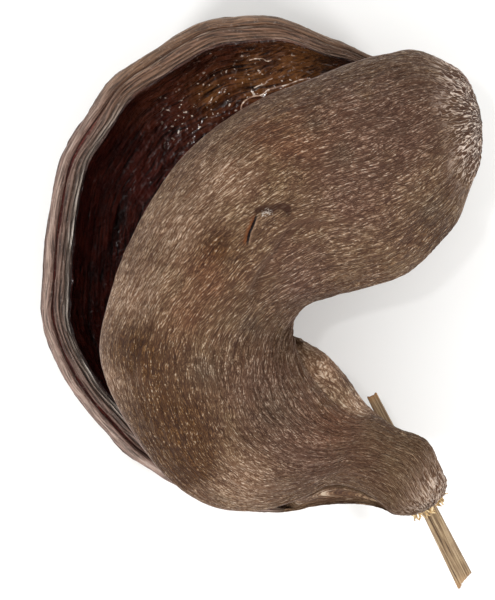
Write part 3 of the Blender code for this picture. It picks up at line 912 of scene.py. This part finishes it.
# Two sets of bands: the left ones are painted lit, the ones at the back painted in shade.
LIT_LEFT_BANDS = (
    (0.0, "7c6258"), (0.14, "94786c"), (0.22, "b09a8e"), (0.32, "8a6c60"), (0.42, "705248"),
    (0.44, "6e1e0a"), (0.5, "5c1408"), (0.525, "6e5248"), (0.62, "7d6458"), (0.76, "665044"),
    (0.81, "b0a296"), (0.85, "4e3a30"), (0.905, "d0c6bc"), (0.94, "6b5248"), (0.985, "2c100c"),
)
SHADED_TOP_BANDS = (
    (0.0, "967c64"), (0.12, "84664e"), (0.36, "785840"), (0.44, "6e4c38"), (0.475, "b8a494"),
    (0.53, "947864"), (0.6, "7a5a46"), (0.74, "8a6a54"), (0.85, "745642"), (0.9, "9e8270"),
    (0.94, "744c38"), (0.985, "4a2416"),
)

rim_wood, tree, spot = new_material("Torn rim wood")
crests_value, across, top_side, closed = point_values(tree, "crests", "lip_share", "top_side", "shut")
fibres = add(tree, "ShaderNodeUVMap", uv_map="fibres")
line_place = add(tree, "ShaderNodeVectorMath", {0: fibres, 1: RIM_LINES_PER_MM}, operation="MULTIPLY")
lines = add(tree, "ShaderNodeTexNoise", {"Vector": line_place, "Scale": 1.0, "Detail": 3.0, "Roughness": 0.6})
grit = add(tree, "ShaderNodeTexNoise", {"Vector": spot, "Scale": 1 / (GRIT_SIZE * MILLIMETRE), "Detail": 3.0})
drift_noise = {"Vector": spot, "Scale": 1 / (BAND_DRIFT_SIZE * MILLIMETRE), "Detail": 2.0}
drift = add(tree, "ShaderNodeTexNoise", drift_noise)
drift = add(tree, "ShaderNodeMapRange", {0: drift, 3: -BAND_DRIFT, 4: BAND_DRIFT})
across = add(tree, "ShaderNodeMath", {0: across, 1: drift}, operation="ADD")
lit_left_bands = add(tree, "ShaderNodeValToRGB", {0: across}, LIT_LEFT_BANDS)
shaded_top_bands = add(tree, "ShaderNodeValToRGB", {0: across}, SHADED_TOP_BANDS)
bands = add(tree, "ShaderNodeMix", {0: top_side, 6: lit_left_bands, 7: shaded_top_bands}, **MIX_COLOURS)
raised = add(tree, "ShaderNodeMapRange", {0: crests_value, 1: -1.0, 2: 1.0, 3: -0.1, 4: 0.1})
raised = add(tree, "ShaderNodeMath", {0: raised, 1: lines}, operation="ADD")
# The lip's lines are darkened where the relief is low and lightened on its crests: painted shade and highlight
# over the lines themselves.
depths = ((0.34, "4c3c32"), (0.46, "a4988e"), (0.55, "e4ddd6"), (0.64, "ffffff"))
streaks = add(tree, "ShaderNodeValToRGB", {0: raised}, depths)
wood = add(tree, "ShaderNodeMix", {0: 0.85, 6: bands, 7: streaks}, blend_type="MULTIPLY", **MIX_COLOURS)
fleck = add(tree, "ShaderNodeValToRGB", {0: grit}, ((0.58, "000000"), (0.72, "808080")))
for share, code in ((fleck, "c4b2a4"), (closed, "5c4838")):
    wood = add(tree, "ShaderNodeMix", {0: share, 6: wood, 7: colour(code)}, **MIX_COLOURS)
roughness = add(tree, "ShaderNodeMapRange", {0: lines, 1: 0.3, 2: 0.7, 3: 0.62, 4: 0.42})
relief = add(tree, "ShaderNodeMix", {0: 0.35, 2: lines, 3: grit})
bump = add(tree, "ShaderNodeBump", {"Distance": RIM_BUMP * MILLIMETRE, "Height": relief})
finish(rim_wood, {"Base Color": wood, "Roughness": roughness, "Normal": bump, "IOR": 1.48})

# %% [markdown]
# The lining is hard and dark, like old varnish over wood. Deep in the hollow it is near black, which is painted
# shade; towards the rim at the back it turns maroon and, in patches, amber, painted lighter where the light
# gets in. A clear coat gives it its gloss, which breaks into small glints on the ribs and blisters. The
# varnish has run together in drops, so the coat is thick on them and thin between, and most of it is above.
# Whitish specks, mostly at the back, are painted glints on the dark varnish.

# %% Material: varnished lining
RIBS_PER_MM = (0.2, 1.8, 0.0)
TINT_CLOUD_SIZE = 4.5
DROP_SIZE = 1.2
GLINT_SPECK_SIZE = 0.75
RIB_BUMP = 0.8
DROP_BUMP = 0.9

lining, tree, spot = new_material("Varnished lining")
crests_value, top_side, amber, painted_glint_share, closed = point_values(
    tree, "crests", "top_side", "amber", "painted_glints", "shut"
)
fibres = add(tree, "ShaderNodeUVMap", uv_map="fibres")
rib_place = add(tree, "ShaderNodeVectorMath", {0: fibres, 1: RIBS_PER_MM}, operation="MULTIPLY")
ribs = add(tree, "ShaderNodeTexNoise", {"Vector": rib_place, "Scale": 1.0, "Detail": 4.0, "Roughness": 0.7})
cloud_noise = {"Vector": spot, "Scale": 1 / (TINT_CLOUD_SIZE * MILLIMETRE), "Detail": 3.0}
cloud = add(tree, "ShaderNodeTexNoise", cloud_noise)
drops, painted_glints = (
    add(tree, "ShaderNodeTexNoise", {"Vector": spot, "Scale": 1 / (size * MILLIMETRE), "Detail": 1.0})
    for size in (DROP_SIZE, GLINT_SPECK_SIZE)
)

tint = add(tree, "ShaderNodeMapRange", {0: cloud, 1: 0.35, 2: 0.65})
# Painted shade deep in the hollow, and a lighter copy, painted lit, towards the back.
deep_in_shade = add(tree, "ShaderNodeMix", {0: tint, 6: colour("340c08"), 7: colour("4e1c12")}, **MIX_COLOURS)
upper = add(tree, "ShaderNodeMix", {0: tint, 6: colour("431a0f"), 7: colour("5c2e1a")}, **MIX_COLOURS)
varnish = add(tree, "ShaderNodeMix", {0: top_side, 6: deep_in_shade, 7: upper}, **MIX_COLOURS)
varnish = add(tree, "ShaderNodeMix", {0: amber, 6: varnish, 7: colour("7a4c26")}, **MIX_COLOURS)
# Between the ribs the varnish is darkened and on them lightened: painted shade and highlight along the ribs.
lift = add(tree, "ShaderNodeMapRange", {0: crests_value, 1: -1.2, 2: 1.2, 3: -0.12, 4: 0.12})
lift = add(tree, "ShaderNodeMath", {0: lift, 1: ribs}, operation="ADD")
shade = add(tree, "ShaderNodeValToRGB", {0: lift}, ((0.38, "3c302c"), (0.5, "a0948c"), (0.62, "ffffff")))
varnish = add(tree, "ShaderNodeMix", {0: 1.0, 6: varnish, 7: shade}, blend_type="MULTIPLY", **MIX_COLOURS)
# Whitish specks from noise, painted glints on the varnish.
painted_glints = add(tree, "ShaderNodeMapRange", {0: painted_glints, 1: 0.67, 2: 0.71})
painted_glints = add(tree, "ShaderNodeMath", {0: painted_glints, 1: painted_glint_share}, operation="MULTIPLY")
for share, code in ((closed, "5c4434"), (painted_glints, "e0cdbc")):
    varnish = add(tree, "ShaderNodeMix", {0: share, 6: varnish, 7: colour(code)}, **MIX_COLOURS)

roughness = add(tree, "ShaderNodeMapRange", {0: cloud, 1: 0.35, 2: 0.65, 3: 0.3, 4: 0.48})
relief = add(tree, "ShaderNodeMix", {0: 0.45, 2: ribs, 3: drops})
bump = add(tree, "ShaderNodeBump", {"Distance": RIB_BUMP * MILLIMETRE, "Height": relief})
coat_bump = add(tree, "ShaderNodeBump", {"Distance": DROP_BUMP * MILLIMETRE, "Height": drops})
gloss = add(tree, "ShaderNodeMapRange", {0: drops, 1: 0.44, 2: 0.52, 3: 0.15, 4: 1.0})
thickness = add(tree, "ShaderNodeMapRange", {0: top_side, 3: 0.4, 4: 1.0})
opened = add(tree, "ShaderNodeMath", {0: 1.0, 1: closed}, operation="SUBTRACT")
for share in (thickness, opened):
    gloss = add(tree, "ShaderNodeMath", {0: gloss, 1: share}, operation="MULTIPLY")
finish(lining, {
    "Base Color": varnish, "Roughness": roughness, "Normal": bump, "IOR": 1.5, "Specular IOR Level": 0.15,
    "Coat Weight": gloss, "Coat Normal": coat_bump, "Coat Roughness": 0.16,
})

# %% [markdown]
# Everything for the two valves is ready. The upper one takes the crown, its rim and the ceiling of the
# hollow; the lower one takes the bed of the hollow, the broad rim and the belly. They share the points of the
# crease.

# %% Build the two valves
LAST_CEILING = CROWN_POINTS + UPPER_RIM_POINTS + UPPER_HOLLOW_POINTS - 1
pod_materials = [bark, rim_wood, lining]
valve("pod_upper_valve", list(range(LAST_CEILING + 1)), pod_materials)
lower_valve = valve("pod_lower_valve", list(range(LAST_CEILING, len(zone))) + [0], pod_materials)

# %% [markdown]
# The scrap of stalk is a flat strip that split off the twig, so it is a bundle of woody strands that grew
# together. Each strand is a cone, hardly tapered and flattened, and they end at different lengths, which
# makes the break ragged. Fused by a remesh, they leave soft grooves between them, which a carved strip
# wouldn't have.

# %% The stalk's strands, fused into one strip
STALK_TOP = np.array((19.6, -16.4, 9.0))
STALK_FAR = np.array((36.4, -50.0, 14.4))
# The strip's half width at its top, and from this share of its length on.
STALK_HALF_WIDTHS = (0.95, 1.76)
STALK_WIDENING = (0.0, 0.6)
STALK_HALF_THICKNESS = 0.86
STRAND_SIDES = 16
STALK_GRAIN = 0.14
# Each strand: its place across the strip, its half width and its height as shares of the strip's, and how
# many millimetres it falls short at the top and at the far end.
STRANDS = (
    (-0.76, 0.24, 0.9, 0.0, 1.5), (-0.4, 0.3, 0.8, 0.3, 1.3), (0.02, 0.3, 0.86, 0.2, 1.0),
    (0.36, 0.22, 0.8, 0.4, 0.7), (0.6, 0.15, 0.95, 0.2, 0.3), (0.82, 0.16, 0.95, 0.0, 0.0),
    (-0.55, 0.26, 0.7, 0.9, 1.9), (-0.15, 0.26, 0.72, 0.4, 1.2), (0.2, 0.2, 0.7, 0.3, 0.9),
    (0.72, 0.12, 0.6, 0.2, 0.4),
)
stalk_run = STALK_FAR - STALK_TOP
stalk_length = float(np.linalg.norm(stalk_run))
stalk_along = stalk_run / stalk_length
stalk_side = np.cross(stalk_along, (0.0, 0.0, 1.0))
stalk_side = stalk_side / np.linalg.norm(stalk_side)
stalk_up = np.cross(stalk_side, stalk_along)

bpy.ops.object.select_all(action="DESELECT")
strand_pieces = []
for across, half_width, high, top_gap, far_gap in STRANDS:
    ends = []
    radii = []
    for length in (top_gap, stalk_length - far_gap):
        strip_half = np.interp(length / stalk_length, STALK_WIDENING, STALK_HALF_WIDTHS)
        ends.append(STALK_TOP + stalk_along * length + stalk_side * across * strip_half)
        radii.append(half_width * strip_half)
    run = ends[1] - ends[0]
    forward = run / np.linalg.norm(run)
    sideways = np.cross(forward, stalk_up)
    turn = Matrix(np.column_stack((stalk_up, sideways, forward)).tolist())
    flatness = high * STALK_HALF_THICKNESS / radii[1]
    bpy.ops.mesh.primitive_cone_add(
        vertices=STRAND_SIDES,
        radius1=radii[0] * MILLIMETRE,
        radius2=radii[1] * MILLIMETRE,
        depth=float(np.linalg.norm(run)) * MILLIMETRE,
        location=((ends[0] + ends[1]) / 2 * MILLIMETRE).tolist(),
        rotation=turn.to_euler(),
        scale=(flatness, 1.0, 1.0),
    )
    strand_pieces.append(bpy.context.active_object)
for piece in strand_pieces:
    piece.select_set(True)
bpy.ops.object.join()
stalk = bpy.context.active_object
stalk.name = "stalk_strip"
bpy.ops.object.transform_apply(location=True, rotation=True, scale=True)
fuse = stalk.modifiers.new("fuse", "REMESH")
fuse.mode = "VOXEL"
fuse.voxel_size = STALK_GRAIN * MILLIMETRE
bpy.ops.object.modifier_apply(modifier=fuse.name)
soften = stalk.modifiers.new("soften", "SMOOTH")
soften.factor = 0.5
soften.iterations = 2
bpy.ops.object.modifier_apply(modifier=soften.name)
print("stalk:", round(stalk_length, 1), "mm long")

# %% [markdown]
# Dry straw-coloured wood: pale ribs, darker brown in the grooves, fine grain along it, and ends that went brown
# where the pith is torn. It is matt, with the low sheen of straw on the ribs.

# %% Material: straw-coloured stalk
GRAIN_PER_MM = (0.09, 3.4, 0.0)
STRAW_CLOUD_SIZE = 3.0
GRAIN_BUMP = 0.3

straw, tree, spot = new_material("Straw-coloured stalk wood")
groove_share, stain_share = point_values(tree, "groove", "end_stain")
fibres = add(tree, "ShaderNodeUVMap", uv_map="fibres")
grain_place = add(tree, "ShaderNodeVectorMath", {0: fibres, 1: GRAIN_PER_MM}, operation="MULTIPLY")
grain_noise = {"Vector": grain_place, "Scale": 1.0, "Detail": 3.0, "Roughness": 0.65}
grain = add(tree, "ShaderNodeTexNoise", grain_noise)
cloud_noise = {"Vector": spot, "Scale": 1 / (STRAW_CLOUD_SIZE * MILLIMETRE), "Detail": 3.0}
cloud = add(tree, "ShaderNodeTexNoise", cloud_noise)
ground = add(tree, "ShaderNodeValToRGB", {0: cloud}, ((0.35, "988063"), (0.65, "b39d7d")))
depths = ((0.34, "5f4c38"), (0.45, "b8aa98"), (0.54, "eae4dc"), (0.64, "ffffff"))
stripes = add(tree, "ShaderNodeValToRGB", {0: grain}, depths)
rind = add(tree, "ShaderNodeMix", {0: 1.0, 6: ground, 7: stripes}, blend_type="MULTIPLY", **MIX_COLOURS)
for share, code in ((groove_share, "6b4c30"), (stain_share, "a8743e")):
    rind = add(tree, "ShaderNodeMix", {0: share, 6: rind, 7: colour(code)}, **MIX_COLOURS)
roughness = add(tree, "ShaderNodeMapRange", {0: grain, 1: 0.3, 2: 0.7, 3: 0.7, 4: 0.5})
bump = add(tree, "ShaderNodeBump", {"Distance": GRAIN_BUMP * MILLIMETRE, "Height": grain})
finish(straw, {"Base Color": rind, "Roughness": roughness, "Normal": bump, "IOR": 1.5})
stalk.data.materials.clear()
stalk.data.materials.append(straw)

# %% [markdown]
# The material needs to know where the grooves and the two torn ends are. Both follow from where a point lies
# along, across and above the strip, so they are worked out from its place and kept on the points.

# %% Grooves and torn ends as values on the points
GROOVES = (-0.62, 0.5, 0.71)
GROOVE_HALF_WIDTH = 0.07
GROOVE_TOP = 0.6
GROOVE_STRENGTH = 0.75
# How strong the stain of each end is and how many millimetres it reaches.
TOP_STAIN = (0.6, 1.2)
FAR_STAIN = (0.4, 1.4)

stalk_points = np.zeros(len(stalk.data.vertices) * 3, dtype=np.float32)
stalk.data.vertices.foreach_get("co", stalk_points)
offsets = stalk_points.reshape(-1, 3) / MILLIMETRE - STALK_TOP
down = offsets @ stalk_along
over = offsets @ stalk_side
rise = offsets @ stalk_up
set_fibre_map(stalk, np.stack((down, over + 0.7 * rise), axis=1))
shares = over / np.interp(down / stalk_length, STALK_WIDENING, STALK_HALF_WIDTHS)
groove = sum(np.exp(-(((shares - line) / GROOVE_HALF_WIDTH) ** 2)) for line in GROOVES)
set_value(stalk, "groove", np.clip(groove * (rise < GROOVE_TOP), 0.0, GROOVE_STRENGTH))
end_stain = sum(
    strength * np.exp(-((length / reach) ** 2))
    for length, (strength, reach) in ((down, TOP_STAIN), (stalk_length - down, FAR_STAIN))
)
set_value(stalk, "end_stain", end_stain)
own_piece(stalk, "stalk")

# %% [markdown]
# Where the stalk was torn off the pod, a fringe of golden bast fibres stands out from under the stalk end,
# and a few more beside the stalk's upper end. Each is a thin bent tube that starts inside the wall.

# %% Torn bast fibres
FIBRE_RADIUS = 0.2
ROOT_DEPTH = 0.4
ROOT_SCATTER = 0.35
LEAN_SCATTER = 0.45
BEND_SHARE = 0.35
LENGTH_SHARES = (0.5, 1.15)
THICKNESS_SHARES = (0.6, 1.3)
# Each group: where its first and last fibre start, how many there are, how long they are and their drop.
FIBRE_GROUPS = (
    ((27.4, -38.6, 16.0), (31.6, -36.8, 16.6), 40, 1.7, -0.1),
    ((31.6, -36.8, 16.6), (33.2, -34.2, 17.0), 12, 1.2, 0.0),
    ((28.4, -38.0, 13.4), (31.8, -36.6, 13.6), 18, 1.5, -0.1),
    ((21.6, -19.8, 13.0), (24.0, -21.2, 14.0), 9, 1.1, 0.0),
)
random_draw = np.random.default_rng(5)
bpy.ops.object.select_all(action="DESELECT")
fibre_pieces = []
for first, last, count, length, drop in FIBRE_GROUPS:
    for share in np.linspace(0.0, 1.0, count):
        near = np.array(first) * (1 - share) + np.array(last) * share
        near = near + random_draw.normal(0.0, ROOT_SCATTER, 3)
        root, normal = lower_valve.closest_point_on_mesh((near * MILLIMETRE).tolist())[1:3]
        root = np.array(root) / MILLIMETRE
        outward = np.array(normal) + random_draw.normal(0.0, LEAN_SCATTER, 3)
        outward[2] = outward[2] * 0.4 + drop
        outward = outward / np.linalg.norm(outward)
        reach = length * random_draw.uniform(*LENGTH_SHARES)
        bend = random_draw.normal(0.0, BEND_SHARE, 3) * reach
        bpy.ops.curve.primitive_bezier_curve_add()
        fibre = bpy.context.active_object
        fibre.data.bevel_depth = FIBRE_RADIUS * random_draw.uniform(*THICKNESS_SHARES) * MILLIMETRE
        fibre.data.bevel_resolution = 2
        fibre.data.resolution_u = 6
        fibre.data.use_fill_caps = True
        third = outward * reach / 3
        stops = (root - np.array(normal) * ROOT_DEPTH, root + outward * reach)
        for point, spot_on, lean in zip(fibre.data.splines[0].bezier_points, stops, (bend, -bend)):
            point.handle_left_type = "FREE"
            point.handle_right_type = "FREE"
            point.co = (spot_on * MILLIMETRE).tolist()
            point.handle_left = ((spot_on - third - lean / 2) * MILLIMETRE).tolist()
            point.handle_right = ((spot_on + third + lean / 2) * MILLIMETRE).tolist()
            point.radius = 1.0 if lean is bend else 0.5
        fibre.location = (0.0, 0.0, 0.0)
        fibre_pieces.append(fibre)
for piece in fibre_pieces:
    piece.select_set(True)
bpy.ops.object.convert(target="MESH")
bpy.ops.object.join()
bast = bpy.context.active_object
bast.name = "torn_bast_fibres"
bpy.ops.object.transform_apply(location=True, rotation=True, scale=True)

# %% [markdown]
# Fresh bast is golden straw. Its fibres are so thin that only specks of paler and darker gold show on them.

# %% Material: golden bast fibre
SPECK_SIZE = 0.6

golden, tree, spot = new_material("Golden bast fibre")
speck_noise = {"Vector": spot, "Scale": 1 / (SPECK_SIZE * MILLIMETRE), "Detail": 2.0}
speck = add(tree, "ShaderNodeTexNoise", speck_noise)
gold = add(tree, "ShaderNodeValToRGB", {0: speck}, ((0.35, "8a6c3c"), (0.5, "bc9a66"), (0.66, "e0cca4")))
roughness = add(tree, "ShaderNodeMapRange", {0: speck, 1: 0.3, 2: 0.7, 3: 0.65, 4: 0.45})
finish(golden, {"Base Color": gold, "Roughness": roughness})
bast.data.materials.append(golden)
own_piece(bast)

# %% [markdown]
# A strip of the inner skin peeled off along the upper valve's edge and dried there as a glassy strand. It
# hangs just outside the edge near the back, and its whitish colour is a painted highlight where it catches the
# light. Below it a few short whitish drips lie on the bed of the hollow as painted glints, so each is dropped
# onto it from above.

# %% The peeled strand
STRAND_RADIUS = 0.13
STRAND_LINE = (
    (-3.4, 32.6, 33.4), (-3.3, 34.6, 33.0), (-1.6, 35.9, 32.8), (0.2, 36.3, 32.9), (1.2, 37.1, 32.7),
    (2.9, 37.6, 32.6), (4.8, 38.1, 32.3), (6.9, 38.9, 32.0), (8.6, 39.1, 31.8),
)
# Short whitish drips on the bed of the hollow, which paint its glints, as plan lines.
GLINT_DRIP_LINES = (
    ((-1.2, 38.0), (-0.2, 38.5), (0.7, 38.7), (1.2, 39.3), (2.1, 39.7)),
    ((-2.1, 42.8), (-0.9, 43.1), (0.3, 43.1), (1.2, 42.7), (1.9, 42.9)),
    ((-9.4, 35.2), (-8.9, 35.7), (-8.6, 36.4)),
)
glint_drip_lines = []
for drip_line in GLINT_DRIP_LINES:
    drip = []
    for drip_x, drip_y in drip_line:
        above = (drip_x * MILLIMETRE, drip_y * MILLIMETRE, 30 * MILLIMETRE)
        landing = lower_valve.ray_cast(above, (0.0, 0.0, -1.0))[1]
        drip.append(np.array(landing) / MILLIMETRE)
    glint_drip_lines.append(drip)
strand_data = bpy.data.curves.new("peeled_strand", "CURVE")
strand_data.dimensions = "3D"
strand_data.bevel_depth = STRAND_RADIUS * MILLIMETRE
strand_data.bevel_resolution = 3
strand_data.use_fill_caps = True
for course in (STRAND_LINE, *glint_drip_lines):
    line = strand_data.splines.new("BEZIER")
    line.bezier_points.add(len(course) - 1)
    for point, stop in zip(line.bezier_points, course):
        point.co = (np.array(stop) * MILLIMETRE).tolist()
        point.handle_left_type = "AUTO"
        point.handle_right_type = "AUTO"
strand = bpy.data.objects.new("peeled_strand", strand_data)
bpy.context.scene.collection.objects.link(strand)
bpy.ops.object.select_all(action="DESELECT")
strand.select_set(True)
bpy.context.view_layer.objects.active = strand
bpy.ops.object.convert(target="MESH")
strand = bpy.context.active_object

# %% [markdown]
# The skin dried as clear as glue and is glossy. Its colour goes by specks from brown to whitish, and the
# whitish is a painted highlight.

# %% Material: glassy dried skin
FILM_SPECK_SIZE = 0.9

glassy, tree, spot = new_material("Glassy dried skin with painted highlight")
film_noise = {"Vector": spot, "Scale": 1 / (FILM_SPECK_SIZE * MILLIMETRE), "Detail": 2.0}
speck = add(tree, "ShaderNodeTexNoise", film_noise)
# The pale stops of this ramp are a painted highlight.
film_with_highlight = add(tree, "ShaderNodeValToRGB", {0: speck}, ((0.38, "7a5542"), (0.5, "b09078"), (0.62, "e4d2c2")))
roughness = add(tree, "ShaderNodeMapRange", {0: speck, 1: 0.3, 2: 0.7, 3: 0.4, 4: 0.2})
finish(glassy, {"Base Color": film_with_highlight, "Roughness": roughness})
strand.data.materials.append(glassy)
own_piece(strand)

# %% [markdown]
# The photograph's background is white paper, so the floor is a plain pale sheet. Two soft lights stand low
# on the left and the right of the pod's front, because its left and front faces are the bright ones, and the
# pale surroundings fill the shadows. The plain view transform keeps white paper white.

# %% Floor
FLOOR_WIDTH = 6.0
PULP_SIZE = 25.0

bpy.ops.object.select_all(action="DESELECT")
bpy.ops.mesh.primitive_plane_add(size=FLOOR_WIDTH, location=(0.0, 0.0, 0.0))
floor = bpy.context.active_object
floor.name = "floor"
paper, tree, spot = new_material("White paper")
pulp = add(tree, "ShaderNodeTexNoise", {"Vector": spot, "Scale": 1 / (PULP_SIZE * MILLIMETRE), "Detail": 2.0})
sheet = add(tree, "ShaderNodeMix", {0: pulp, 6: colour("f7f7f5"), 7: colour("fbfbfa")}, **MIX_COLOURS)
finish(paper, {"Base Color": sheet, "Roughness": 0.9})
floor.data.materials.append(paper)

# %% [markdown]
# Two area lights, 14 cm wide, stand about a metre away like small softboxes, so the bark's threads keep a
# bright side and a dark one. A smaller lamp overhead reaches into the hollow and gives the glints there.

# %% Lights and the pale room
# Each light: its name, place in metres, width in metres and power in watts.
LIGHTS = (
    ("left softbox", (-0.58, -0.42, 0.62), 0.14, 4.8),
    ("right softbox", (0.68, -0.26, 0.58), 0.14, 3.8),
    ("overhead lamp", (-0.16, 0.14, 1.1), 0.05, 1.1),
)
AIM = np.array((0.0, 0.0, 0.02))
ROOM_LIGHT = 0.94
for name, location, size, power in LIGHTS:
    light_data = bpy.data.lights.new(name, "AREA")
    light_data.shape = "SQUARE"
    light_data.size = size
    light_data.energy = power
    light = bpy.data.objects.new(name, light_data)
    bpy.context.scene.collection.objects.link(light)
    light.location = location
    aim = AIM - np.array(location)
    light.rotation_euler = (
        math.acos(-aim[2] / np.linalg.norm(aim)), 0.0, math.atan2(aim[1], aim[0]) - math.pi / 2
    )
    light.visible_camera = False

world = bpy.data.worlds.new("pale room")
world.use_nodes = True
air = world.node_tree
fill(air, air.nodes["Background"], {"Color": colour("ffffff"), "Strength": ROOM_LIGHT})
bpy.context.scene.world = world
bpy.context.scene.view_settings.view_transform = "Standard"
